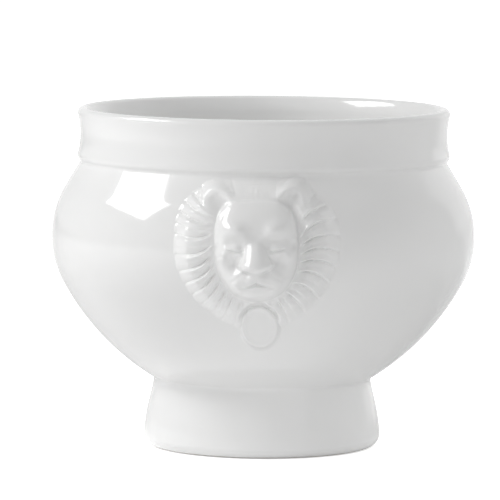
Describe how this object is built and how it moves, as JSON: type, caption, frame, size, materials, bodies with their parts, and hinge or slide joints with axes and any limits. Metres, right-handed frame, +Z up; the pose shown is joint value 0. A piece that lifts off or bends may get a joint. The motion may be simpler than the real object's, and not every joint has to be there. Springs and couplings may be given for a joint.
{
  "type": "soup bowl",
  "caption": "Footed round soup bowl in white glazed porcelain with a collared rim, a hollow pedestal foot and lion masks over plain medallions, front and back.",
  "frame": {"origin": "on the axis of the bowl, at the plane that the standing ring rests on", "axes": "+Z up along the axis of the bowl; -Y towards the front lion mask; +X to the right of someone who faces it"},
  "size_m": [0.1307, 0.1554, 0.1048],
  "materials": {
    "porcelain": "clear glossy glaze over white porcelain, bare on the standing ring"
  },
  "bodies": {
    "root": {"belly_shell": "porcelain", "collar": "porcelain", "pedestal_foot": "porcelain", "front_lion_mask": "porcelain", "rear_lion_mask": "porcelain", "front_medallion": "porcelain", "rear_medallion": "porcelain"}
  },
  "joints": []
}
